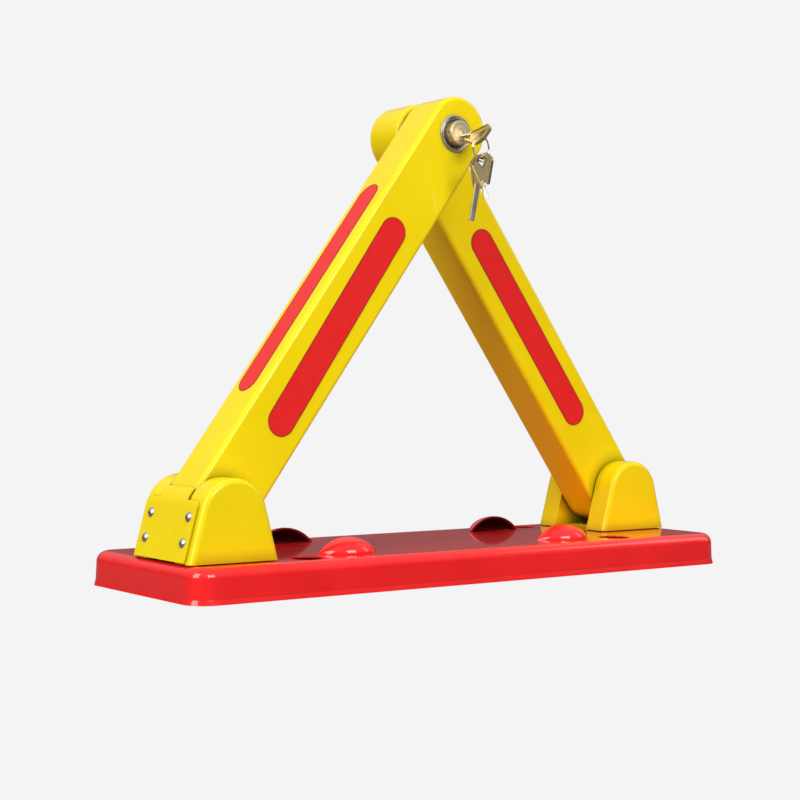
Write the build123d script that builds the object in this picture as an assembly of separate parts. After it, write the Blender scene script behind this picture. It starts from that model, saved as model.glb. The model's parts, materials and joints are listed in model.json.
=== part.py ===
from build123d import *
import os
from math import asin, atan2, cos, hypot, pi, radians, sin

# Folding parking lock. Millimetres, +X to the right, +Y to the rear, +Z up,
# origin at the centre of the base on the ground. Built in the raised position.

# Overall size
LENGTH = 560.0
WIDTH = 180.0
HEIGHT = 410.0

# Base pan, a drawn steel tray with its open side down
PAN_TOP = 27.8
PAN_SHEET = 1.5
PAN_CORNER_R = 20.0
PAN_EDGE_R = 8.8
PAN_TAPER = 2.2
LIP_HEIGHT = 4.0
LIP_OUT = 1.0
LIP_TAPER = 13.0
ANCHOR_X = 165.7
ANCHOR_Y = 64.5
ANCHOR_R = 13.9
LOUVRE_X = (-115.0, 118.0)
LOUVRE_MOUTH_Y = 47.0
LOUVRE_HALF = 28.8
LOUVRE_RISE = 13.4
LOUVRE_REACH = 21.0

# Arms, box section with round ends, and their hinges
ARM_R = 28.8
ARM_DEPTH = 41.2
ARM_GAP = 8.3
ARM_WALL = 2.4
FRONT_EDGE_R = 4.0
REAR_EDGE_R = 1.6
PIVOT_X = 233.8
PIVOT_Z = 63.6
ARM_Y = (ARM_GAP + ARM_DEPTH) / 2
APEX_Z = HEIGHT - ARM_R
ARM_ANGLE = atan2(APEX_Z - PIVOT_Z, PIVOT_X)
ARM_LENGTH = hypot(PIVOT_X, APEX_Z - PIVOT_Z)
BACK_THICK = 2.0
BACK_RECESS = 0.6
SLEEVE_R = 11.0
BUSH_R = 8.0
BUSH_FLANGE_R = 12.0
BUSH_REACH = 21.6
BUSH_LENGTH = 12.0
BOLT_R = 6.0
BOLT_FLATS = 18.0
BOLT_HEAD = 7.5
BOLT_NUT = 10.0
BOLT_TAIL = 12.0
WASHER_R = 12.0
WASHER_THICK = 1.6
RUN_GAP = 0.05

# Reflective strips: start and end along the arm from its pivot
STRIP_THICK = 0.4
STRIP_WIDTH = 25.0
LEFT_STRIP = (78.7, 292.8)
LEFT_STRIP_OFF = -0.6
LEFT_STRIP_TURN = 1.5
RIGHT_STRIP = (81.6, 295.7)
RIGHT_STRIP_OFF = 0.6
REAR_STRIP = (80.0, 294.0)
EDGE_STRIP = (97.0, 311.8)
EDGE_STRIP_WIDTH = 23.0
EDGE_STRIP_BACK = 2.8

# Hinge brackets
CHEEK_R = 29.1
CHEEK_HALF_FOOT = 39.6
CHEEK_INNER = 22.0
CHEEK_OUTER = 46.0
CHEEK_EDGE_R = 4.5
COVER_WALL = 1.6
COVER_LIFT = 0.7
EAR_INSET = 1.75
EAR_THICK = 4.0
FRAME_FLOOR = 3.0
FRAME_FLOOR_HALF = 23.0
PLATE_THICK = 1.5
PLATE_GAP = 0.1
PLATE_HALF = 39.8
PLATE_SHIFT = 1.3
PLATE_SHOULDER_Z = 76.0
PLATE_CORNER_R = 5.0
STOP_LENGTH = 4.0
TONGUE_HALF = 21.0
RIVET_Y = 29.5
RIVET_Z = (43.8, 63.2)
RIVET_HEAD_R = 4.2
RIVET_HEAD_HEIGHT = 2.2
RIVET_SHANK_R = 2.4
RIVET_TAIL_R = 3.2
RIVET_TAIL = 2.0
FRAME_BOLT_X = 15.0
FRAME_BOLT_Y = 13.0
FRAME_BOLT_R = 4.0
FRAME_BOLT_PLAY = 0.2
COUNTERSINK = 2.4
SINK_PLAY = 0.2
SOCKET_R = 2.4
SOCKET_DEPTH = 1.2
BACKING_THICK = 3.0
BACKING_SIZE = (52.0, 50.0)
BACKING_CORNER_R = 6.0
FRAME_NUT = 6.5
FRAME_NUT_FLATS = 13.0

# Lock in the top of the left arm
LOCK_X = -4.2
LOCK_Z = 378.05
BEZEL_R = 16.0
BEZEL_THICK = 2.2
BEZEL_ROUND = 1.2
BEZEL_DISH = 1.6
HOUSING_R = 13.0
FUNNEL_DEPTH = 3.2
FUNNEL_RECESS = 0.6
FUNNEL_LIP = 0.3
NUT_FLATS = 32.0
NUT_THICK = 6.0
BARREL_R = 10.3
BARREL_FACE_Y = -52.85
BARREL_END_Y = -26.85
BARREL_CHAMFER = 0.8
BARREL_PLAY = 0.08
TUMBLER_ANGLES = (189.0, 215.0)
TUMBLER_SIZE = 4.0
TUMBLER_DEPTH = 1.6
TUMBLER_Y = -49.65
HOUSING_END_Y = -9.65
HOUSING_WALL = 3.0
LATCH_R = 5.0
LATCH_TIP_Y = 3.35
LATCH_CHAMFER = 1.0
KEEPER_R = 5.6
KEEPER_SIZE = 24.0
KEEPER_CORNER_R = 4.0
KEEPER_THICK = 3.0
SPRING_WIRE_R = 0.8
SPRING_MEAN_R = 7.6
SPRING_TURNS = 4
CORE_R = 4.2
CORE_PLAY = 0.06
CORE_PROUD = 0.2
CORE_FLOOR = 2.0
KEYWAY_DEPTH = 24.0
CORE_DX = 3.0
CORE_DZ = -4.2

# Keys and key ring
BOW_LENGTH = 27.0
BOW_WIDEST = 20.0
BOW_HALF_NECK = 4.2
BOW_HALF_WIDE = 11.5
BOW_HALF_END = 6.3
BOW_THICK = 2.8
BOW_RIM = 1.6
BOW_FIELD_DEPTH = 0.6
BOW_SHOULDER_R = 4.0
BOW_END_R = 2.5
BOW_NECK_R = 1.5
BOW_HOLE_R = 1.4
BOW_HOLE_RIM = 1.1
BOW_TILT = 52.0
BOW_NECK_Y = -57.85
HOLE_APEX_U = 15.5
HOLE_BASE_U = 24.2
HOLE_HALF = 6.2
BLADE_R = 2.9
BLADE_BORE = 1.9
BLADE_SWEEP = 200.0
BLADE_ROOT = 3.5
KEY_BLADE = 26.5
FRONT_SPARE_BLADE = 14.5
REAR_SPARE_BLADE = 31.5
RING_HOLE_U = 21.5
RING_HOLE_V = -1.6
RING_R = 10.9
RING_WIRE = 0.75
RING_YAW = 14.0
RING_SWAY = 8.0
SPARE_FRONT = (15.0, -10.5, -12.0, -3.0)
SPARE_REAR = (-6.0, 4.2, 13.0, 0.0)

FRONT_FACE_Y = -ARM_Y - ARM_DEPTH / 2
CORE_X = LOCK_X + CORE_DX
CORE_Z = LOCK_Z + CORE_DZ
RING_X = CORE_X + RING_HOLE_V * cos(radians(BOW_TILT)) - RING_R * sin(radians(RING_SWAY))
RING_Y = BOW_NECK_Y - RING_HOLE_U
RING_Z = CORE_Z + RING_HOLE_V * sin(radians(BOW_TILT)) - RING_R * cos(radians(RING_SWAY))
EAR_OUT = CHEEK_INNER + EAR_THICK
COVER_FOOT = PAN_TOP + COVER_LIFT
PLATE_Y = -ARM_Y + PLATE_SHIFT
TINY = 0.01
THROUGH = 40.0

parts = {}


def rod_y(x, z, r, y0, y1):
    """Round bar along Y from y0 to y1."""
    return Pos(x, (y0 + y1) / 2, z) * Rot(90, 0, 0) * Cylinder(r, abs(y1 - y0))


def tube_y(x, z, outer, inner, y0, y1):
    return rod_y(x, z, outer, y0, y1) - rod_y(x, z, inner, y0 - 1, y1 + 1)


def hex_y(x, z, flats, bore, y0, y1):
    """Hexagon nut along Y."""
    body = extrude(RegularPolygon(flats / 2, 6, major_radius=False), abs(y1 - y0))
    body -= Cylinder(bore, 3 * abs(y1 - y0))
    return Pos(x, max(y0, y1), z) * Rot(90, 0, 0) * body


def half_turn(shape):
    """The same piece on the other side, turned 180 degrees about Z."""
    return Rot(0, 0, 180) * shape


# ---------------------------------------------------------------- base pan

def tray(shrink, height, top_r):
    """Tapered block with rounded top edges, smaller than the pan by shrink all round."""
    outline = RectangleRounded(LENGTH - 2 * shrink, WIDTH - 2 * shrink, PAN_CORNER_R - shrink)
    body = extrude(outline, height, taper=PAN_TAPER)
    top = body.edges().filter_by_position(Axis.Z, height - TINY, height + TINY)
    return fillet(top, top_r)


def louvre_body(half, rise, reach):
    """Spindle with pointed ends along X, flattened to its reach along Y."""
    arc = ThreePointArc((-half, 0), (0, rise), (half, 0))
    lens = make_face(arc + Line((half, 0), (-half, 0)))
    return scale(revolve(lens, Axis.X), by=(1, reach / rise, 1))


def louvres():
    """Stamped scoops: what is added to the pan and what is cut out under them."""
    scoops, hollows = [], []
    for x in LOUVRE_X:
        for sy in (-1, 1):
            place = Pos(x, sy * LOUVRE_MOUTH_Y, PAN_TOP)
            beyond = Pos(0, sy * LOUVRE_REACH, LOUVRE_RISE - PAN_SHEET)
            keep = beyond * Box(3 * LOUVRE_HALF, 2 * LOUVRE_REACH, 2 * LOUVRE_RISE)
            outer = louvre_body(LOUVRE_HALF, LOUVRE_RISE, LOUVRE_REACH)
            inner = louvre_body(
                LOUVRE_HALF - 2 * PAN_SHEET, LOUVRE_RISE - PAN_SHEET, LOUVRE_REACH - PAN_SHEET
            )
            mouth = Pos(0, sy * LOUVRE_REACH, 0) * Box(
                3 * LOUVRE_HALF, 2 * LOUVRE_REACH, 4 * LOUVRE_RISE
            )
            scoops.append(place * (outer & keep))
            hollows.append(place * (inner & mouth))
    return scoops, hollows


def base_louvres():
    """The four scoops pressed out of the deck, kept apart from it so that each is a simple shell."""
    return [scoop - hollow for scoop, hollow in zip(*louvres())]


def base_pan():
    lip = extrude(RectangleRounded(LENGTH, WIDTH, PAN_CORNER_R), LIP_HEIGHT, taper=LIP_TAPER)
    pan = lip + tray(LIP_OUT, PAN_TOP, PAN_EDGE_R)
    pan -= tray(LIP_OUT + PAN_SHEET, PAN_TOP - PAN_SHEET, PAN_EDGE_R - PAN_SHEET)
    scoops, hollows = louvres()
    for cut in scoops + hollows:
        pan -= cut
    for sx in (-1, 1):
        for sy in (-1, 1):
            pan -= Pos(sx * ANCHOR_X, sy * ANCHOR_Y, PAN_TOP) * Cylinder(ANCHOR_R, 4 * PAN_SHEET)
        for bx, by in frame_bolt_places():
            pan -= Pos(sx * (PIVOT_X + bx), sx * (ARM_Y + by), PAN_TOP) * Cylinder(
                FRAME_BOLT_R + FRAME_BOLT_PLAY, 4 * PAN_SHEET
            )
    return pan


# ---------------------------------------------------------------- brackets
# Made for the left end, with the bracket centred on x = -PIVOT_X, y = -ARM_Y.

def frame_bolt_places():
    return [(sx * FRAME_BOLT_X, sy * FRAME_BOLT_Y) for sx in (-1, 1) for sy in (-1, 1)]


def side_tangent(r, half, foot_z):
    """Lean of the bracket's straight side and the point where it meets the round top."""
    drop = PIVOT_Z - foot_z
    reach = hypot(half, drop)
    lean = pi - atan2(drop, half) - asin(r / reach) - pi / 2
    return lean, (r * cos(lean), PIVOT_Z + r * sin(lean))


def cheek(inset, foot_z, y0, y1):
    """Bracket side between two depths: straight tapering sides under a round top."""
    r = CHEEK_R - inset
    half = CHEEK_HALF_FOOT - inset
    lean, (tx, tz) = side_tangent(r, half, foot_z)
    sides = Polyline((-tx, tz), (-half, foot_z), (half, foot_z), (tx, tz))
    top = ThreePointArc((tx, tz), (0, PIVOT_Z + r), (-tx, tz))
    block = extrude(Plane.XZ * make_face(sides + top), y1 - y0)
    return Pos(-PIVOT_X, -ARM_Y + y1, 0) * block


def cover(sign):
    """Pressed cap over one ear; sign is -1 for the one that faces the front."""
    inner, outer = sorted((sign * CHEEK_INNER, sign * CHEEK_OUTER))
    body = cheek(0, COVER_FOOT, inner, outer)
    face_y = -ARM_Y + sign * CHEEK_OUTER
    rim = body.edges().filter_by_position(Axis.Y, face_y - TINY, face_y + TINY)
    rim = rim.filter_by(lambda e: e.center().Z > COVER_FOOT + COVER_WALL)
    body = fillet(rim, CHEEK_EDGE_R)
    hollow = sorted((sign * (CHEEK_INNER - 1), sign * (CHEEK_OUTER - COVER_WALL)))
    body -= cheek(COVER_WALL, COVER_FOOT - 1, *hollow)
    return body - rivet_holes()


def plate_frame():
    """Plane on the bracket's outer slope: X along the bracket's width, Y up the slope."""
    lean = side_tangent(CHEEK_R, CHEEK_HALF_FOOT, COVER_FOOT)[0]
    foot = (-PIVOT_X - CHEEK_HALF_FOOT, -ARM_Y, COVER_FOOT)
    return Plane(origin=foot, x_dir=(0, -1, 0), z_dir=(-cos(lean), 0, sin(lean)))


def rivet_places():
    frame = plate_frame()
    lean = side_tangent(CHEEK_R, CHEEK_HALF_FOOT, COVER_FOOT)[0]
    slope = [(z - COVER_FOOT) / cos(lean) for z in RIVET_Z]
    return [frame * Pos(sy * RIVET_Y, up, 0) for sy in (-1, 1) for up in slope]


def rivet_holes():
    hole = Cylinder(RIVET_SHANK_R + RUN_GAP, THROUGH / 2)
    return Part() + [place * hole for place in rivet_places()]


def end_plate():
    """Plate riveted over both covers; its middle bends over the arm's back as the raised stop."""
    lean = side_tangent(CHEEK_R, CHEEK_HALF_FOOT, COVER_FOOT)[0]
    stop = pi / 2 - ARM_ANGLE

    def slope_point(out, up):
        return (
            -CHEEK_HALF_FOOT - out * cos(lean) + up * sin(lean),
            COVER_FOOT + out * sin(lean) + up * cos(lean),
        )

    def arc_point(r, angle):
        return (-r * cos(angle), PIVOT_Z + r * sin(angle))

    def stop_point(r):
        x, z = arc_point(r, stop)
        return (x + STOP_LENGTH * cos(ARM_ANGLE), z + STOP_LENGTH * sin(ARM_ANGLE))

    near, far = PLATE_GAP, PLATE_GAP + PLATE_THICK
    rin, rout = CHEEK_R + near, CHEEK_R + far
    middle = (lean + stop) / 2
    foot_up = COVER_LIFT
    outline = (
        Polyline(arc_point(rin, lean), slope_point(near, foot_up), slope_point(far, foot_up),
                 arc_point(rout, lean))
        + ThreePointArc(arc_point(rout, lean), arc_point(rout, middle), arc_point(rout, stop))
        + Polyline(arc_point(rout, stop), stop_point(rout), stop_point(rin), arc_point(rin, stop))
        + ThreePointArc(arc_point(rin, stop), arc_point(rin, middle), arc_point(rin, lean))
    )
    strip = extrude(Plane.XZ * make_face(outline), 2 * PLATE_HALF)
    strip = Pos(-PIVOT_X, PLATE_Y + PLATE_HALF, 0) * strip
    low = COVER_FOOT - 2 * PLATE_CORNER_R
    wide = Pos(0, (low + PLATE_SHOULDER_Z) / 2) * RectangleRounded(
        2 * PLATE_HALF, PLATE_SHOULDER_Z - low, PLATE_CORNER_R
    )
    tongue = Pos(-PLATE_SHIFT, PLATE_SHOULDER_Z) * Rectangle(2 * TONGUE_HALF, 2 * CHEEK_R)
    silhouette = extrude(Plane.YZ * (wide + tongue), 2 * CHEEK_R, both=True)
    strip &= Pos(-PIVOT_X, PLATE_Y, 0) * silhouette
    return strip - rivet_holes()


def plate_rivets():
    """Domed rivets with their shanks and the upset ends behind the cover wall."""
    face = PLATE_GAP + PLATE_THICK
    dome_r = (RIVET_HEAD_R**2 + RIVET_HEAD_HEIGHT**2) / (2 * RIVET_HEAD_HEIGHT)
    head = Pos(0, 0, face + RIVET_HEAD_HEIGHT - dome_r) * Sphere(dome_r)
    head -= Pos(0, 0, face - dome_r) * Cylinder(2 * dome_r, 2 * dome_r)
    tail_z = -COVER_WALL - 2 * PLATE_GAP - RIVET_TAIL
    shank = Pos(0, 0, (face + tail_z) / 2) * Cylinder(RIVET_SHANK_R, face - tail_z)
    tail = Pos(0, 0, tail_z + RIVET_TAIL / 2) * Cylinder(RIVET_TAIL_R, RIVET_TAIL)
    rivet = head + shank + tail
    return [place * rivet for place in rivet_places()]


def hinge_frame():
    """Steel U: a floor bolted to the pan and two ears that carry the pivot bolt."""
    frame = Pos(-PIVOT_X, -ARM_Y, PAN_TOP + FRAME_FLOOR / 2) * Box(
        2 * FRAME_FLOOR_HALF, 2 * EAR_OUT, FRAME_FLOOR
    )
    frame += cheek(EAR_INSET, PAN_TOP, CHEEK_INNER, EAR_OUT)
    frame += cheek(EAR_INSET, PAN_TOP, -EAR_OUT, -CHEEK_INNER)
    frame -= rod_y(-PIVOT_X, PIVOT_Z, BOLT_R + RUN_GAP, -ARM_Y - WIDTH, -ARM_Y + WIDTH)
    for bx, by in frame_bolt_places():
        at = Pos(-PIVOT_X + bx, -ARM_Y + by, PAN_TOP + FRAME_FLOOR)
        frame -= at * Cylinder(FRAME_BOLT_R + FRAME_BOLT_PLAY, 4 * FRAME_FLOOR)
        frame -= at * Pos(0, 0, -COUNTERSINK / 2) * Cone(
            FRAME_BOLT_R + FRAME_BOLT_PLAY, 2 * FRAME_BOLT_R, COUNTERSINK
        )
    return frame


def backing_plate():
    z = PAN_TOP - PAN_SHEET - BACKING_THICK / 2
    outline = RectangleRounded(*BACKING_SIZE, BACKING_CORNER_R)
    plate = Pos(-PIVOT_X, -ARM_Y, z) * extrude(outline, BACKING_THICK / 2, both=True)
    for bx, by in frame_bolt_places():
        plate -= Pos(-PIVOT_X + bx, -ARM_Y + by, z) * Cylinder(
            FRAME_BOLT_R + FRAME_BOLT_PLAY, 2 * BACKING_THICK
        )
    return plate


def frame_bolts():
    """Countersunk bolts through the hinge frame, the pan and the backing plate."""
    tip = FRAME_FLOOR + PAN_SHEET + BACKING_THICK + FRAME_NUT + COUNTERSINK
    tall = COUNTERSINK - SINK_PLAY
    head = Pos(0, 0, -SINK_PLAY - tall / 2) * Cone(FRAME_BOLT_R, 2 * FRAME_BOLT_R - 2 * SINK_PLAY, tall)
    head -= Pos(0, 0, -SINK_PLAY) * extrude(RegularPolygon(SOCKET_R, 6), -SOCKET_DEPTH)
    shank = tip - COUNTERSINK
    bolt = head + Pos(0, 0, -COUNTERSINK - shank / 2) * Cylinder(FRAME_BOLT_R, shank)
    places = [(-PIVOT_X + bx, -ARM_Y + by) for bx, by in frame_bolt_places()]
    return [Pos(x, y, PAN_TOP + FRAME_FLOOR) * bolt for x, y in places]


def frame_nuts():
    nut = extrude(RegularPolygon(FRAME_NUT_FLATS / 2, 6, major_radius=False), FRAME_NUT)
    nut -= Cylinder(FRAME_BOLT_R + RUN_GAP, THROUGH)
    z = PAN_TOP - PAN_SHEET - BACKING_THICK - FRAME_NUT
    return [Pos(-PIVOT_X + bx, -ARM_Y + by, z) * nut for bx, by in frame_bolt_places()]


def pivot_bolt():
    head_y = -ARM_Y - EAR_OUT - WASHER_THICK
    tail_y = -ARM_Y + EAR_OUT + WASHER_THICK + BOLT_TAIL
    bolt = rod_y(-PIVOT_X, PIVOT_Z, BOLT_R, head_y - 1, tail_y)
    head = extrude(RegularPolygon(BOLT_FLATS / 2, 6, major_radius=False), BOLT_HEAD)
    return bolt + Pos(-PIVOT_X, head_y, PIVOT_Z) * Rot(90, 0, 0) * head


def pivot_washers():
    out = []
    for y0 in (-EAR_OUT - WASHER_THICK, EAR_OUT):
        y = -ARM_Y + y0
        out.append(tube_y(-PIVOT_X, PIVOT_Z, WASHER_R, BOLT_R + 0.2, y, y + WASHER_THICK))
    return out


def pivot_nut():
    y = -ARM_Y + EAR_OUT + WASHER_THICK
    return hex_y(-PIVOT_X, PIVOT_Z, BOLT_FLATS, BOLT_R + RUN_GAP, y, y + BOLT_NUT)


def bracket_pieces():
    return {
        "hinge_frame": hinge_frame(),
        "front_cover": cover(-1),
        "rear_cover": cover(1),
        "end_plate": end_plate(),
        "plate_rivets": plate_rivets(),
        "pivot_bolt": pivot_bolt(),
        "pivot_washers": pivot_washers(),
        "pivot_nut": pivot_nut(),
        "backing_plate": backing_plate(),
        "frame_bolts": frame_bolts(),
        "frame_nuts": frame_nuts(),
    }


# ---------------------------------------------------------------- arms
# side is -1 for the left arm and +1 for the right one. Local X runs from the pivot
# to the apex, local Z faces the front and local Y * -side is the outer edge.

def arm_plane(side):
    along = (-side * cos(ARM_ANGLE), 0, sin(ARM_ANGLE))
    origin = (side * PIVOT_X, side * ARM_Y, PIVOT_Z)
    return Plane(origin=origin, x_dir=along, z_dir=(0, -1, 0))


def arm_slot(inset, z0, z1):
    """Round-ended block along the arm, smaller than its outline by inset."""
    outline = Pos(ARM_LENGTH / 2, 0) * SlotCenterToCenter(ARM_LENGTH, 2 * (ARM_R - inset))
    return Pos(0, 0, z0) * extrude(outline, z1 - z0)


def in_arm(side, x, y, z):
    """World point in the arm's own coordinates."""
    local = arm_plane(side).to_local_coords(Vector(x, y, z))
    return local.X, local.Y


def arm_holes(side):
    """Round cuts through the front wall, as (x, y, radius)."""
    holes = [(0, 0, BUSH_R)]
    if side < 0:
        holes.append((*in_arm(-1, LOCK_X, -ARM_Y, LOCK_Z), HOUSING_R + RUN_GAP))
    else:
        holes.append((*in_arm(1, LOCK_X, ARM_Y, LOCK_Z), KEEPER_R))
    return holes


def arm_shell(side):
    half = ARM_DEPTH / 2
    body = arm_slot(0, -half, half)
    front = body.edges().filter_by_position(Axis.Z, half - TINY, half + TINY)
    body = fillet(front, FRONT_EDGE_R)
    rear = body.edges().filter_by_position(Axis.Z, -half - TINY, -half + TINY)
    body = fillet(rear, REAR_EDGE_R)
    floor = half - ARM_WALL
    hollow = arm_slot(ARM_WALL, -half - 1, floor)
    inner = hollow.edges().filter_by_position(Axis.Z, floor - TINY, floor + TINY)
    body -= fillet(inner, FRONT_EDGE_R - ARM_WALL)
    for x, y, r in arm_holes(side):
        body -= Pos(x, y, half) * Cylinder(r, 4 * ARM_WALL)
    return arm_plane(side) * body


def back_z():
    """Outer and inner level of the back plate."""
    outer = -ARM_DEPTH / 2 + BACK_RECESS
    return outer, outer + BACK_THICK


def arm_back_plate(side):
    outer, inner = back_z()
    plate = arm_slot(ARM_WALL + 0.1, outer, inner)
    plate -= Pos(0, 0, outer) * Cylinder(BUSH_R, 4 * BACK_THICK)
    if side < 0:
        x, y = in_arm(-1, LOCK_X, -ARM_Y, LOCK_Z)
        plate -= Pos(x, y, outer) * Cylinder(KEEPER_R, 4 * BACK_THICK)
    return arm_plane(side) * plate


def arm_pivot_sleeve(side):
    top = ARM_DEPTH / 2 - ARM_WALL
    bottom = back_z()[1]
    tube = Cylinder(SLEEVE_R, top - bottom) - Cylinder(BUSH_R, ARM_DEPTH)
    return arm_plane(side) * Pos(0, 0, (top + bottom) / 2) * tube


def arm_bushes(side):
    """Flanged plain bushes that run on the pivot bolt, one in each side of the arm."""
    out = []
    for face, way in ((ARM_DEPTH / 2, 1), (back_z()[0], -1)):
        flange_end = way * BUSH_REACH
        low, high = sorted((face, flange_end))
        flange = Pos(0, 0, (low + high) / 2) * Cylinder(BUSH_FLANGE_R, high - low)
        low, high = sorted((flange_end, face - way * BUSH_LENGTH))
        barrel = Pos(0, 0, (low + high) / 2) * Cylinder(BUSH_R, high - low)
        out.append(arm_plane(side) * (flange + barrel - Cylinder(BOLT_R + RUN_GAP, 3 * ARM_DEPTH)))
    return out


def pill(start, end, width, turn=0.0):
    """Round-ended strip along the arm, turned a little about its own middle."""
    outline = SlotOverall(end - start, width)
    return Pos((start + end) / 2, 0) * Rot(0, 0, turn) * extrude(outline, STRIP_THICK)


def front_strip(side):
    """Strip stuck on the front face by hand, so each has its own place and slant."""
    level = ARM_DEPTH / 2
    if side < 0:
        strip = Pos(0, LEFT_STRIP_OFF, level) * pill(*LEFT_STRIP, STRIP_WIDTH, LEFT_STRIP_TURN)
    else:
        strip = Pos(0, -RIGHT_STRIP_OFF, level) * pill(*RIGHT_STRIP, STRIP_WIDTH)
    return arm_plane(side) * strip


def rear_strip(side):
    return arm_plane(side) * Pos(0, 0, back_z()[0] - STRIP_THICK) * pill(*REAR_STRIP, STRIP_WIDTH)


def edge_strip(side):
    """Strip on the arm's outer narrow face, nearer to its back edge."""
    strip = Rot(90, 0, 0) * pill(*EDGE_STRIP, EDGE_STRIP_WIDTH)
    level = ARM_R + STRIP_THICK if side < 0 else -ARM_R
    return arm_plane(side) * Pos(0, level, -EDGE_STRIP_BACK) * strip


def arm_pieces(side):
    return {
        "shell": arm_shell(side),
        "back_plate": arm_back_plate(side),
        "pivot_sleeve": arm_pivot_sleeve(side),
        "bushes": arm_bushes(side),
        "front_reflector": front_strip(side),
        "edge_reflector": edge_strip(side),
        "rear_reflector": rear_strip(side),
    }


def latch_keeper():
    """Strike plate behind the right arm's front wall that the latch enters."""
    level = ARM_DEPTH / 2 - ARM_WALL - KEEPER_THICK
    plate = extrude(RectangleRounded(KEEPER_SIZE, KEEPER_SIZE, KEEPER_CORNER_R), KEEPER_THICK)
    plate -= Cylinder(KEEPER_R, 4 * KEEPER_THICK)
    x, y = in_arm(1, LOCK_X, ARM_Y, LOCK_Z)
    return arm_plane(1) * Pos(x, y, level) * plate


# ---------------------------------------------------------------- lock

def turned_y(points):
    """Solid turned about the lock's axis from (radius, y) corners."""
    face = make_face(Polyline(*points, close=True))
    return Pos(LOCK_X, 0, LOCK_Z) * revolve(face, Axis.Y)


def lock_bezel():
    back, front = FRONT_FACE_Y, FRONT_FACE_Y - BEZEL_THICK
    bore = HOUSING_R + RUN_GAP
    return turned_y([
        (bore, back), (BEZEL_R, back), (BEZEL_R, front + BEZEL_ROUND),
        (BEZEL_R - BEZEL_ROUND, front), (BEZEL_R - BEZEL_DISH, front), (bore, front + BEZEL_DISH),
    ])


def lock_housing():
    """Tube through the arm's front wall, with a funnel mouth."""
    mouth = FRONT_FACE_Y - FUNNEL_RECESS
    end = HOUSING_END_Y
    bore, tail = BARREL_R + BARREL_PLAY, LATCH_R + BARREL_PLAY
    return turned_y([
        (bore, mouth + FUNNEL_DEPTH), (HOUSING_R - FUNNEL_LIP, mouth), (HOUSING_R, mouth + FUNNEL_LIP),
        (HOUSING_R, end), (tail, end), (tail, end - HOUSING_WALL), (bore, end - HOUSING_WALL),
    ])


def lock_nut():
    y = FRONT_FACE_Y + ARM_WALL
    return hex_y(LOCK_X, LOCK_Z, NUT_FLATS, HOUSING_R + RUN_GAP, y, y + NUT_THICK)


def lock_plunger():
    """Brass barrel that is pressed in to lock and springs out when released, with two tumbler slots."""
    body = rod_y(LOCK_X, LOCK_Z, BARREL_R, BARREL_FACE_Y, BARREL_END_Y)
    face = body.edges().filter_by_position(Axis.Y, BARREL_FACE_Y - TINY, BARREL_FACE_Y + TINY)
    body = chamfer(face, BARREL_CHAMFER)
    for angle in TUMBLER_ANGLES:
        pocket = Pos(BARREL_R, TUMBLER_Y, 0) * Box(2 * TUMBLER_DEPTH, TUMBLER_SIZE, TUMBLER_SIZE)
        body -= Pos(LOCK_X, 0, LOCK_Z) * Rot(0, -angle, 0) * pocket
    return body - rod_y(CORE_X, CORE_Z, CORE_R + CORE_PLAY, BARREL_FACE_Y - 1, BARREL_END_Y - CORE_FLOOR)


def lock_bolt():
    body = rod_y(LOCK_X, LOCK_Z, LATCH_R, BARREL_END_Y, LATCH_TIP_Y)
    tip = body.edges().filter_by_position(Axis.Y, LATCH_TIP_Y - TINY, LATCH_TIP_Y + TINY)
    return chamfer(tip, LATCH_CHAMFER)


def lock_spring():
    clear = SPRING_WIRE_R + 0.1
    start, end = BARREL_END_Y + clear, HOUSING_END_Y - HOUSING_WALL - clear
    path = Helix((end - start) / SPRING_TURNS, end - start, SPRING_MEAN_R)
    profile = Plane(origin=path @ 0, z_dir=path % 0) * Circle(SPRING_WIRE_R)
    coil = sweep(profile, path=path, is_frenet=True)
    return Pos(LOCK_X, end, LOCK_Z) * Rot(90, 0, 0) * coil


def blade_solid(length, start, grow=0.0):
    """Half-tube blade along local -X from start."""
    ring = Circle(BLADE_R + grow) - Circle(BLADE_BORE - grow)
    reach = 3 * BLADE_R
    slant = radians(BLADE_SWEEP / 2)
    x, y = reach * cos(slant), reach * sin(slant)
    wedge = make_face(Polyline((0, 0), (x, y), (-reach, reach), (-reach, -reach), (x, -y), close=True))
    section = Rot(0, 0, 90) * (ring - wedge)
    return Pos(start, 0, 0) * Rot(0, -90, 0) * extrude(section, length)


def bow_solid():
    """Flat key head along local X: narrow neck, wide shoulders, a triangular ring hole."""
    outline = make_face(Polyline(
        (0, BOW_HALF_NECK), (BOW_WIDEST, BOW_HALF_WIDE), (BOW_LENGTH, BOW_HALF_END),
        (BOW_LENGTH, -BOW_HALF_END), (BOW_WIDEST, -BOW_HALF_WIDE), (0, -BOW_HALF_NECK), close=True,
    ))
    corners = outline.vertices().sort_by(Axis.X)
    outline = fillet(corners[2:4], BOW_SHOULDER_R)
    end = outline.vertices().filter_by_position(Axis.X, BOW_LENGTH - TINY, BOW_LENGTH + TINY)
    outline = fillet(end, BOW_END_R)
    outline = fillet(outline.vertices().filter_by_position(Axis.X, -TINY, TINY), BOW_NECK_R)
    hole = make_face(Polyline(
        (HOLE_APEX_U, 0), (HOLE_BASE_U, HOLE_HALF), (HOLE_BASE_U, -HOLE_HALF), close=True
    ))
    hole = fillet(hole.vertices(), BOW_HOLE_R)
    plate = extrude(outline, BOW_THICK / 2, both=True)
    field = offset(outline, -BOW_RIM) - offset(hole, BOW_HOLE_RIM)
    for way in (-1, 1):
        plate -= Pos(0, 0, way * BOW_THICK / 2) * extrude(field, BOW_FIELD_DEPTH, both=True)
    plate -= extrude(hole, BOW_THICK, both=True)
    return plate - Rot(0, 90, 0) * Cylinder(BLADE_R, 2 * BLADE_ROOT)


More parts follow.
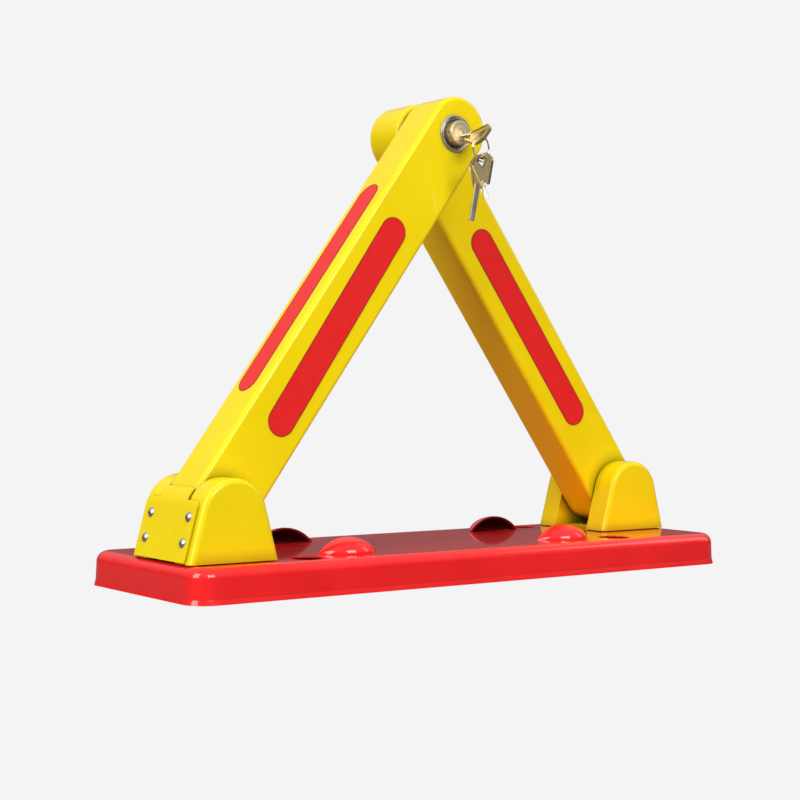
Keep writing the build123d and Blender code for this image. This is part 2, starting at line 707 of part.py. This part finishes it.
def key_frame():
    tilt = radians(BOW_TILT)
    neck = (CORE_X, BOW_NECK_Y, CORE_Z)
    return Plane(origin=neck, x_dir=(0, -1, 0), z_dir=(-sin(tilt), 0, cos(tilt)))


def lock_core():
    """Turning plug with a half-moon keyway."""
    end = BARREL_END_Y - CORE_FLOOR - CORE_PLAY
    body = rod_y(CORE_X, CORE_Z, CORE_R, BARREL_FACE_Y - CORE_PROUD, end)
    return body - key_frame() * blade_solid(KEYWAY_DEPTH, 0, CORE_PLAY)


def key_ring():
    upright = Rot(0, 0, RING_YAW) * Rot(90, 0, 0)
    return Pos(RING_X, RING_Y, RING_Z) * upright * Torus(RING_R, RING_WIRE)


def spare_frame(step, lean, turn, offset_v):
    """A hanging key's own plane: step degrees round the ring from its bottom, leaning along
    the wire, turned in its own plane, and off centre on the wire by offset_v."""
    wire_u = HOLE_BASE_U - RING_WIRE - BOW_HOLE_RIM
    centre = Pos(RING_X, RING_Y, RING_Z) * Rot(0, 0, RING_YAW)
    wire = centre * Rot(0, step, 0) * Pos(0, 0, -RING_R)
    return wire * Rot(0, lean, 0) * Rot(turn, 0, 0) * Rot(0, -90, 0) * Pos(-wire_u, offset_v, 0)


def key_pieces():
    bow = bow_solid()
    front = spare_frame(*SPARE_FRONT)
    rear = spare_frame(*SPARE_REAR)
    return {
        "key_bow": key_frame() * bow,
        "key_blade": key_frame() * blade_solid(KEY_BLADE, BLADE_ROOT),
        "key_ring": key_ring(),
        "spare_key_front_bow": front * bow,
        "spare_key_front_blade": front * blade_solid(FRONT_SPARE_BLADE, BLADE_ROOT),
        "spare_key_rear_bow": rear * bow,
        "spare_key_rear_blade": rear * blade_solid(REAR_SPARE_BLADE, BLADE_ROOT),
    }


# ---------------------------------------------------------------- all pieces

def add(name, shape):
    """A list becomes one node of separate solids."""
    parts[name] = Compound(children=shape) if isinstance(shape, list) else shape


def build():
    add("base_pan", base_pan())
    add("base_louvres", base_louvres())
    swapped = {"front_cover": "rear_cover", "rear_cover": "front_cover"}
    for name, shape in bracket_pieces().items():
        add("left_" + name, shape)
        far = [half_turn(s) for s in shape] if isinstance(shape, list) else half_turn(shape)
        add("right_" + swapped.get(name, name), far)
    for side, label in ((-1, "left_arm_"), (1, "right_arm_")):
        for name, shape in arm_pieces(side).items():
            add(label + name, shape)
    add("latch_keeper", latch_keeper())
    add("lock_bezel", lock_bezel())
    add("lock_housing", lock_housing())
    add("lock_nut", lock_nut())
    add("lock_plunger", lock_plunger())
    add("lock_bolt", lock_bolt())
    add("lock_spring", lock_spring())
    add("lock_core", lock_core())
    for name, shape in key_pieces().items():
        add(name, shape)


build()
os.makedirs("parts", exist_ok=True)
for name, shape in parts.items():
    export_step(shape, f"parts/{name}.step")
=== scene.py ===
import bmesh
import bpy
import json
from math import radians, tau
from mathutils import Matrix, Vector


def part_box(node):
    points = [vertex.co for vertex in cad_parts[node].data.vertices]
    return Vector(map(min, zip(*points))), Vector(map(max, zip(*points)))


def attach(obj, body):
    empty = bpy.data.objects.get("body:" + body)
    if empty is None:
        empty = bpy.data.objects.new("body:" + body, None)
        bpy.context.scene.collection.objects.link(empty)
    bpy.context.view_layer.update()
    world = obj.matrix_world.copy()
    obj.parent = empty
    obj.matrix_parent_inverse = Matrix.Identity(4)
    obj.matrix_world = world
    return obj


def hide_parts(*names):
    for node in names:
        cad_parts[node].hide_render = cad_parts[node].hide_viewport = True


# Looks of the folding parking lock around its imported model. Metres, +Z up, front towards -Y.

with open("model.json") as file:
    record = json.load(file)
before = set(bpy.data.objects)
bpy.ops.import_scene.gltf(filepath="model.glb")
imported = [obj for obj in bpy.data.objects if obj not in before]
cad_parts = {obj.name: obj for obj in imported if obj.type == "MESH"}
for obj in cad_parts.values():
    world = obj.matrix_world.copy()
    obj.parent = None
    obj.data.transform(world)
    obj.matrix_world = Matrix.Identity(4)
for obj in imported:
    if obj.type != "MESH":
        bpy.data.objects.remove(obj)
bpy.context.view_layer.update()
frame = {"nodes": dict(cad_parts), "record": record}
nodes = frame["nodes"]
slot_of = {part["node"]: part["material_slot"] for part in frame["record"]["subparts"]}
body_of = {node: body for body, names in frame["record"]["behaviour"]["bodies"].items() for node in names}
MM = 0.001

# Camera: where it stands, which way it looks in degrees, and its lens in mm
CAMERA_PLACE = (-0.8950, -1.1720, 0.1657)
CAMERA_TURN = -36.511
CAMERA_TILT = -0.574
CAMERA_ROLL = 0.349
CAMERA_LENS = 75.902
SENSOR_WIDTH = 36.0
VIEW_REACH = 50.0

# Pieces whose sharp edges are rounded inwards, with the radius in mm
ROUNDED_EDGES = {
    "key_bow": 0.25,
    "spare_key_front_bow": 0.25,
    "spare_key_rear_bow": 0.25,
    "left_end_plate": 0.5,
    "right_end_plate": 0.5,
}
LOUVRE_EDGE_R = 0.3
FILM_RIM = 0.7

# How rounding is done: steps across an edge, and the least angle in degrees that counts as sharp
EDGE_STEPS = 2
SHARP_ANGLE = 32
LOUVRE_SHARP_ANGLE = 50
FLAT_ANGLE = 0.5
MERGE_DISTANCE = 1e-6

# Stage: tones are linear grey, the softboxes stand in metres and shine in watts
FLOOR_HALF = 9.0
STAGE_WHITE = 0.905
FLOOR_TONE = 0.16
UNDER_PAN_INSET = 0.004
PAN_CORNER_R = 0.020
HORIZON = (0.02, 0.05)
ZENITH = (0.75, 0.66)
SOFTBOXES = {
    "left_box": {"place": (-2.2, -0.5, 1.3), "aim": (0, 0, 0.2), "size": (1.2, 1.6), "power": 41},
    "front_box": {"place": (-0.2, -2.6, 1.5), "aim": (0, 0, 0.15), "size": (1.6, 1.0), "power": 50},
    "right_box": {"place": (2.0, -0.9, 1.2), "aim": (0, 0, 0.2), "size": (0.8, 1.2), "power": 5},
}

# Painted shade in each crevice and between parts: reach in metres, and whether only the piece itself
# counts
YELLOW_CREVICE_SHADE = ((0.012, False),)
RED_CREVICE_SHADE = ((0.03, True), (0.03, True))
CREVICE_SHADE_SAMPLES = 8

# Enamel: clear coat, base sheen and orange peel of the yellow, the red and the painted shade inside the
# louvres
YELLOW_GLOSS = {"coat": 0.35, "sheen": 0.15, "peel": 0.05}
RED_GLOSS = {"coat": 1.0, "sheen": 0.1, "peel": 0.035}
SHADED_INSIDE_GLOSS = {"coat": 0.3, "sheen": 0.1, "peel": 0.035}
COAT_ROUGHNESS = 0.045
COAT_IOR = 1.5
CLOUD_SCALE = 14
CLOUD_STOPS = (0.30, 0.62)
ENAMEL_ROUGHNESS = (0.24, 0.38)
PEEL_SCALE = 230
PEEL_DEPTH = 0.0004
PAINT_EDGE_R = 0.0004

# Reflective film: cells per metre and their relief
FILM_CELLS = 900
FILM_STOPS = (0.10, 0.75)
FILM_ROUGHNESS = (0.28, 0.42)
FILM_DEPTH = 0.00008

# Metal: relief in metres, edge radius, and how dark the darker grain is
METAL_DEPTH = 0.000012
METAL_EDGE_R = 0.00025
GRAIN_TONE = 0.86
GRAIN_STOPS = (0.35, 0.65)

# Turned metal: ring pitch in metres and relief strength
ZINC_RINGS = {"pitch": 0.0009, "relief": 0.25}
BRASS_RINGS = {"pitch": 0.0007, "relief": 0.3}
RING_TONE = 0.72
RING_STOPS = (0.1, 0.8)
RING_CONTRAST = 0.16
BROAD_RINGS = 6
TURNED_ROUGHNESS = (0.36, 0.48)
TURNED_DEPTH = 0.00001
TURNED_EDGE_R = 0.0002

# Bare metals: roughness and its spread, grains per metre, and relief strength
FINISHES = {
    "chrome": {"roughness": 0.24, "spread": 0.04, "grain": 800, "relief": 0.15},
    "key_brass": {"roughness": 0.30, "spread": 0.03, "grain": 500, "relief": 0.12},
    "key_steel": {"roughness": 0.34, "spread": 0.04, "grain": 700, "relief": 0.1},
    "ring_steel": {"roughness": 0.2, "spread": 0.04, "grain": 900, "relief": 0.1},
    "stainless": {"roughness": 0.24, "spread": 0.04, "grain": 900, "relief": 0.15},
    "plated_steel": {"roughness": 0.34, "spread": 0.1, "grain": 500, "relief": 0.4},
    "spring_steel": {"roughness": 0.3, "spread": 0.08, "grain": 900, "relief": 0.3},
}

# Colours, linear
YELLOW = (0.95, 0.72, 0.002)
YELLOW_DEEP = (0.91, 0.66, 0.0015)
RED = (0.92, 0.013, 0.014)
RED_DEEP = (0.82, 0.008, 0.009)
# Painted shade: dark red for the louvres' inside, where little light reaches
SHADED_INSIDE_RED = (0.16, 0.004, 0.005)
SHADED_INSIDE_DEEP = (0.11, 0.003, 0.004)
FILM_RED = (0.86, 0.022, 0.020)
FILM_DEEP = (0.74, 0.010, 0.010)
FILM_EDGE = (0.33, 0.006, 0.008)
CHROME = (0.80, 0.77, 0.72)
ZINC = (0.46, 0.46, 0.46)
BRASS = (0.90, 0.76, 0.46)
KEY_BRASS = (0.66, 0.54, 0.28)
NICKEL = (0.88, 0.87, 0.85)
STAINLESS = (0.74, 0.72, 0.69)
PLATED = (0.50, 0.50, 0.48)
SPRING = (0.28, 0.28, 0.29)
NYLON = (0.74, 0.72, 0.64)


# ---------------------------------------------------------------- materials

def grey(tone):
    return (tone, tone, tone, 1)


def dimmed(color, share):
    return tuple(share * c for c in color)


class Shader:
    """A new material with short calls for its nodes."""

    def __init__(self, name, color, roughness, metallic=0.0, coat=0.0, coat_roughness=0.05):
        self.material = bpy.data.materials.new(name)
        self.material.use_nodes = True
        self.tree = self.material.node_tree
        self.surface = self.tree.nodes["Principled BSDF"]
        self.surface.inputs["Base Color"].default_value = (*color, 1)
        self.surface.inputs["Roughness"].default_value = roughness
        self.surface.inputs["Metallic"].default_value = metallic
        self.surface.inputs["Coat Weight"].default_value = coat
        self.surface.inputs["Coat Roughness"].default_value = coat_roughness
        self.place = self.node("ShaderNodeTexCoord").outputs["Object"]

    def node(self, kind, **settings):
        made = self.tree.nodes.new(kind)
        for name, value in settings.items():
            setattr(made, name, value)
        return made

    def link(self, output, socket):
        self.tree.links.new(output, socket)

    def set(self, output, name):
        self.link(output, self.surface.inputs[name])

    def noise(self, scale, detail=2.0, roughness=0.5):
        """Noise over the surface, with scale in features per metre."""
        made = self.node("ShaderNodeTexNoise")
        made.inputs["Scale"].default_value = scale
        made.inputs["Detail"].default_value = detail
        made.inputs["Roughness"].default_value = roughness
        self.link(self.place, made.inputs["Vector"])
        return made.outputs["Fac"]

    def cells(self, scale):
        """Distance to the middle of the nearest cell, with scale in cells per metre."""
        made = self.node("ShaderNodeTexVoronoi", feature="F1")
        made.inputs["Scale"].default_value = scale
        self.link(self.place, made.inputs["Vector"])
        return made.outputs["Distance"]

    def ramp(self, value, low, high):
        """Maps a 0 to 1 value onto the range low to high."""
        made = self.node("ShaderNodeMapRange")
        made.inputs["To Min"].default_value = low
        made.inputs["To Max"].default_value = high
        self.link(value, made.inputs["Value"])
        return made.outputs["Result"]

    def steps(self, value, *stops):
        """Colour ramp through (place, colour) stops."""
        made = self.node("ShaderNodeValToRGB")
        elements = made.color_ramp.elements
        while len(elements) < len(stops):
            elements.new(0.5)
        for element, (place, color) in zip(elements, stops):
            element.position = place
            element.color = (*color, 1)
        self.link(value, made.inputs["Fac"])
        return made.outputs["Color"]

    def split(self):
        """The place on the object as separate X, Y and Z."""
        made = self.node("ShaderNodeSeparateXYZ")
        self.link(self.place, made.inputs["Vector"])
        return made.outputs

    def math(self, operation, first, second=None):
        made = self.node("ShaderNodeMath", operation=operation)
        for socket, value in zip(made.inputs, (first, second)):
            if isinstance(value, (int, float)):
                socket.default_value = value
            elif value is not None:
                self.link(value, socket)
        return made.outputs["Value"]

    def bump(self, height, strength, depth, round_edge=None):
        """Relief of the given depth in metres, over edges rounded to a small radius."""
        made = self.node("ShaderNodeBump")
        made.inputs["Strength"].default_value = strength
        made.inputs["Distance"].default_value = depth
        self.link(height, made.inputs["Height"])
        if round_edge:
            edge = self.node("ShaderNodeBevel", samples=4)
            edge.inputs["Radius"].default_value = round_edge
            self.link(edge.outputs["Normal"], made.inputs["Normal"])
        self.set(made.outputs["Normal"], "Normal")
        return made.outputs["Normal"]


def enamel(name, color, deep, crevice_shade, coat, sheen, peel):
    """Baked enamel: faint cloudiness in the colour, painted shade darkening it in each crevice, orange
    peel, and a clear gloss on top.
    """
    s = Shader(name, color, 0.30, coat=coat, coat_roughness=COAT_ROUGHNESS)
    tint = s.steps(s.noise(CLOUD_SCALE, 3, 0.6), *zip(CLOUD_STOPS, (deep, color)))
    # painted shade: ambient occlusion darkens the base colour where parts crowd together
    for reach, own_only in crevice_shade:
        shade = s.node("ShaderNodeAmbientOcclusion", samples=CREVICE_SHADE_SAMPLES, only_local=own_only)
        shade.inputs["Distance"].default_value = reach
        s.link(tint, shade.inputs["Color"])
        tint = shade.outputs["Color"]
    s.set(tint, "Base Color")
    s.set(s.ramp(s.noise(55, 3), *ENAMEL_ROUGHNESS), "Roughness")
    s.surface.inputs["Coat IOR"].default_value = COAT_IOR
    s.surface.inputs["Specular IOR Level"].default_value = sheen
    s.set(s.bump(s.noise(PEEL_SCALE, 1), peel, PEEL_DEPTH, PAINT_EDGE_R), "Coat Normal")
    return s.material


def film(name, color, deep):
    """Retro-reflective film: a fine cell pattern under a smooth face."""
    s = Shader(name, color, 0.34, coat=0.2, coat_roughness=0.12)
    s.surface.inputs["Specular IOR Level"].default_value = 0.25
    cell = s.cells(FILM_CELLS)
    s.set(s.steps(cell, *zip(FILM_STOPS, (deep, color))), "Base Color")
    s.set(s.ramp(s.noise(40, 2), *FILM_ROUGHNESS), "Roughness")
    s.bump(cell, 0.25, FILM_DEPTH)
    return s.material


def metal(name, color, round_edge=METAL_EDGE_R):
    """Bare or plated metal with a fine random grain."""
    finish = FINISHES[name]
    roughness, spread, grain = finish["roughness"], finish["spread"], finish["grain"]
    s = Shader(name, color, roughness, metallic=1.0)
    tones = (dimmed(color, GRAIN_TONE), color)
    s.set(s.steps(s.noise(grain / 6, 3), *zip(GRAIN_STOPS, tones)), "Base Color")
    s.set(s.ramp(s.noise(grain, 4, 0.7), roughness - spread, roughness + spread), "Roughness")
    s.bump(s.noise(grain, 3), finish["relief"], METAL_DEPTH, round_edge)
    return s.material


def turned(name, color, centre, pitch, relief):
    """Metal turned on a lathe about an axis along Y through centre: fine rings on its face."""
    s = Shader(name, color, 0.4, metallic=1.0)
    place = s.split()
    dx = s.math("SUBTRACT", place["X"], centre.x)
    dz = s.math("SUBTRACT", place["Z"], centre.z)
    radius = s.math("SQRT", s.math("ADD", s.math("MULTIPLY", dx, dx), s.math("MULTIPLY", dz, dz)))
    fine = s.math("SINE", s.math("MULTIPLY", radius, tau / pitch))
    broad = s.math("SINE", s.math("MULTIPLY", radius, tau / (BROAD_RINGS * pitch)))
    rings = s.math("ADD", fine, s.math("MULTIPLY", broad, 2.0))
    shade = s.ramp(s.math("ADD", s.math("MULTIPLY", rings, RING_CONTRAST), 0.5), 0.0, 1.0)
    s.set(s.steps(shade, *zip(RING_STOPS, (dimmed(color, RING_TONE), color))), "Base Color")
    s.set(s.ramp(s.noise(900, 3), *TURNED_ROUGHNESS), "Roughness")
    s.bump(rings, relief, TURNED_DEPTH, TURNED_EDGE_R)
    return s.material


def nylon():
    s = Shader("nylon", NYLON, 0.45)
    s.surface.inputs["Subsurface Weight"].default_value = 0.1
    s.set(s.ramp(s.noise(200, 3), 0.38, 0.52), "Roughness")
    s.bump(s.noise(700, 2), 0.2, 0.00005)
    return s.material


def box_middle(node):
    low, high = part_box(node)
    return (low + high) / 2


def make_materials():
    lock_axis = box_middle("lock_plunger")
    return {
        "yellow_paint": enamel("yellow_paint", YELLOW, YELLOW_DEEP, YELLOW_CREVICE_SHADE, **YELLOW_GLOSS),
        "red_paint": enamel("red_paint", RED, RED_DEEP, RED_CREVICE_SHADE, **RED_GLOSS),
        "reflective_red": film("reflective_red", FILM_RED, FILM_DEEP),
        "chrome": metal("chrome", CHROME),
        "zinc": turned("zinc", ZINC, lock_axis, **ZINC_RINGS),
        "brass": turned("brass", BRASS, lock_axis, **BRASS_RINGS),
        "key_brass": metal("key_brass", KEY_BRASS, None),
        "key_steel": metal("key_steel", NICKEL, None),
        "ring_steel": metal("ring_steel", CHROME, None),
        "stainless": metal("stainless", STAINLESS),
        "plated_steel": metal("plated_steel", PLATED),
        "spring_steel": metal("spring_steel", SPRING),
        "nylon": nylon(),
    }


def film_edge():
    """The cut edge of the film, where the adhesive collects dirt."""
    s = Shader("film_edge", FILM_EDGE, 0.5)
    dirt = s.steps(s.noise(600, 2), (0.3, dimmed(FILM_EDGE, 0.6)), (0.7, FILM_EDGE))
    s.set(dirt, "Base Color")
    s.bump(s.noise(900, 2), 0.3, 0.00005)
    return s.material


# ---------------------------------------------------------------- pieces

def outlined(node):
    """A CAD node's mesh with its flat areas joined into single faces."""
    mesh = bmesh.new()
    mesh.from_mesh(nodes[node].data)
    bmesh.ops.remove_doubles(mesh, verts=mesh.verts, dist=MERGE_DISTANCE)
    bmesh.ops.dissolve_limit(mesh, angle_limit=radians(FLAT_ANGLE), verts=mesh.verts, edges=mesh.edges)
    return mesh


def new_piece(name, mesh, node, looks):
    """A piece that stands for a CAD node, on the same body and with the same finish."""
    data = bpy.data.meshes.new(name)
    mesh.to_mesh(data)
    mesh.free()
    for look in looks:
        data.materials.append(look)
    piece = bpy.data.objects.new(name, data)
    bpy.context.scene.collection.objects.link(piece)
    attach(piece, body_of[node])
    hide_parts(node)
    return piece


def film_strip(node):
    """Film with a thin darker rim round both of its faces."""
    mesh = outlined(node)
    faces = sorted(mesh.faces, key=lambda f: f.calc_area())[-2:]
    for face in mesh.faces:
        face.material_index = 0 if face in faces else 1
    rim = bmesh.ops.inset_individual(
        mesh, faces=faces, thickness=FILM_RIM * MM, depth=0.0, use_even_offset=True
    )
    for face in rim["faces"]:
        face.material_index = 1
    return new_piece(node + "_film", mesh, node, [materials["reflective_red"], film_edge_material])


def soften(piece, width, angle):
    """Rounds the piece's sharp edges inwards and shades the rest smoothly."""
    edge = piece.modifiers.new("edge", "BEVEL")
    edge.width = width
    edge.segments = EDGE_STEPS
    edge.limit_method = "ANGLE"
    edge.angle_limit = radians(angle)
    edge.use_clamp_overlap = True
    for face in piece.data.polygons:
        face.use_smooth = True
    smooth = piece.modifiers.new("normals", "WEIGHTED_NORMAL")
    smooth.keep_sharp = True


def rounded(node, width):
    """A CAD node with its sharp edges rounded inwards."""
    piece = new_piece(node + "_piece", outlined(node), node, [materials[slot_of[node]]])
    soften(piece, width, SHARP_ANGLE)


def louvre_scoops(node, width):
    """The four scoops, with painted shade in a dark red on their inside."""
    mesh = outlined(node)
    scoops = {}
    for face in mesh.faces:
        middle = face.calc_center_median()
        scoops.setdefault((middle.x > 0, middle.y > 0), []).append(face)
    for (_, rear), faces in scoops.items():
        xs, ys, zs = zip(*(vert.co for face in faces for vert in face.verts))
        mouth = min(ys) if rear else max(ys)
        centre = Vector(((min(xs) + max(xs)) / 2, mouth, min(zs)))
        for face in faces:
            outwards = (face.calc_center_median() - centre).dot(face.normal) > 0
            # faces turned into the scoop get the painted shade material
            face.material_index = 0 if outwards else 1
    piece = new_piece(node + "_piece", mesh, node, [materials["red_paint"], louvre_painted_shade_material])
    soften(piece, width, LOUVRE_SHARP_ANGLE)


# ---------------------------------------------------------------- camera, stage and light

def make_camera():
    data = bpy.data.cameras.new("camera")
    data.lens = CAMERA_LENS
    data.sensor_width = SENSOR_WIDTH
    data.clip_end = VIEW_REACH
    camera = bpy.data.objects.new("camera", data)
    bpy.context.scene.collection.objects.link(camera)
    turn = Matrix.Rotation(radians(CAMERA_TURN), 4, "Z")
    tilt = Matrix.Rotation(radians(90 + CAMERA_TILT), 4, "X")
    roll = Matrix.Rotation(radians(CAMERA_ROLL), 4, "Z")
    camera.matrix_world = Matrix.Translation(CAMERA_PLACE) @ turn @ tilt @ roll
    bpy.context.scene.camera = camera


def make_floor():
    mesh = bpy.data.meshes.new("floor")
    h = FLOOR_HALF
    mesh.from_pydata([(-h, -h, 0), (h, -h, 0), (h, h, 0), (-h, h, 0)], [], [(0, 1, 2, 3)])
    floor = bpy.data.objects.new("floor", mesh)
    bpy.context.scene.collection.objects.link(floor)
    mesh.materials.append(floor_material())


def floor_material():
    """Floor that looks like the backdrop, reflects as a dim floor, and is unlit under the pan."""
    s = Shader("floor_white", (FLOOR_TONE, FLOOR_TONE, FLOOR_TONE), 0.9)
    s.surface.inputs["Specular IOR Level"].default_value = 0.0
    s.set(s.ramp(s.noise(3, 2), 0.86, 0.94), "Roughness")
    glow = s.node("ShaderNodeEmission")
    glow.inputs["Color"].default_value = grey(STAGE_WHITE)
    place = s.split()
    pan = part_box("base_pan")[1]
    past = []
    for axis, reach in (("X", pan.x), ("Y", pan.y)):
        over = s.math("SUBTRACT", s.math("ABSOLUTE", place[axis]), reach - PAN_CORNER_R)
        over = s.math("MAXIMUM", over, 0.0)
        past.append(s.math("MULTIPLY", over, over))
    corner_distance = s.math("SQRT", s.math("ADD", *past))
    outside = s.math("GREATER_THAN", corner_distance, PAN_CORNER_R - UNDER_PAN_INSET)
    rays = s.node("ShaderNodeLightPath")
    mix = s.node("ShaderNodeMixShader")
    s.link(s.math("MULTIPLY", rays.outputs["Is Camera Ray"], outside), mix.inputs["Fac"])
    s.link(s.surface.outputs["BSDF"], mix.inputs[1])
    s.link(glow.outputs["Emission"], mix.inputs[2])
    s.link(mix.outputs["Shader"], s.tree.nodes["Material Output"].inputs["Surface"])
    return s.material


def make_world():
    """Even white backdrop; what the object reflects is dimmer low down and bright overhead."""
    world = bpy.data.worlds.new("studio")
    bpy.context.scene.world = world
    world.use_nodes = True
    tree = world.node_tree
    tree.nodes.clear()
    new, link = tree.nodes.new, tree.links.new
    coords = new("ShaderNodeTexCoord")
    split = new("ShaderNodeSeparateXYZ")
    link(coords.outputs["Generated"], split.inputs["Vector"])
    ramp = new("ShaderNodeValToRGB")
    stops = ramp.color_ramp.elements
    for stop, (height, tone) in zip(stops, (HORIZON, ZENITH)):
        stop.position = height
        stop.color = grey(tone)
    link(split.outputs["Z"], ramp.inputs["Fac"])
    seen = new("ShaderNodeBackground")
    seen.inputs["Color"].default_value = grey(STAGE_WHITE)
    around = new("ShaderNodeBackground")
    link(ramp.outputs["Color"], around.inputs["Color"])
    rays = new("ShaderNodeLightPath")
    mix = new("ShaderNodeMixShader")
    link(rays.outputs["Is Camera Ray"], mix.inputs["Fac"])
    link(around.outputs["Background"], mix.inputs[1])
    link(seen.outputs["Background"], mix.inputs[2])
    out = new("ShaderNodeOutputWorld")
    link(mix.outputs["Shader"], out.inputs["Surface"])


def softbox(name, place, aim, size, power):
    data = bpy.data.lights.new(name, "AREA")
    data.shape = "RECTANGLE"
    data.size, data.size_y = size
    data.energy = power
    light = bpy.data.objects.new(name, data)
    bpy.context.scene.collection.objects.link(light)
    light.location = place
    light.rotation_euler = (Vector(aim) - Vector(place)).to_track_quat("-Z", "Y").to_euler()
    light.visible_camera = False


# ---------------------------------------------------------------- build

bpy.context.scene.view_settings.view_transform = "Standard"
make_camera()
make_world()
make_floor()
for name, settings in SOFTBOXES.items():
    softbox(name, **settings)
materials = make_materials()
film_edge_material = film_edge()
# painted shade for the inside of the louvre scoops
louvre_painted_shade_material = enamel("louvre_painted_shade", SHADED_INSIDE_RED, SHADED_INSIDE_DEEP, RED_CREVICE_SHADE, **SHADED_INSIDE_GLOSS)
for name, node in nodes.items():
    node.data.materials.clear()
    node.data.materials.append(materials[slot_of[name]])
for side in ("left", "right"):
    for place in ("front", "edge", "rear"):
        film_strip(f"{side}_arm_{place}_reflector")
for name, width in ROUNDED_EDGES.items():
    rounded(name, width * MM)
louvre_scoops("base_louvres", LOUVRE_EDGE_R * MM)
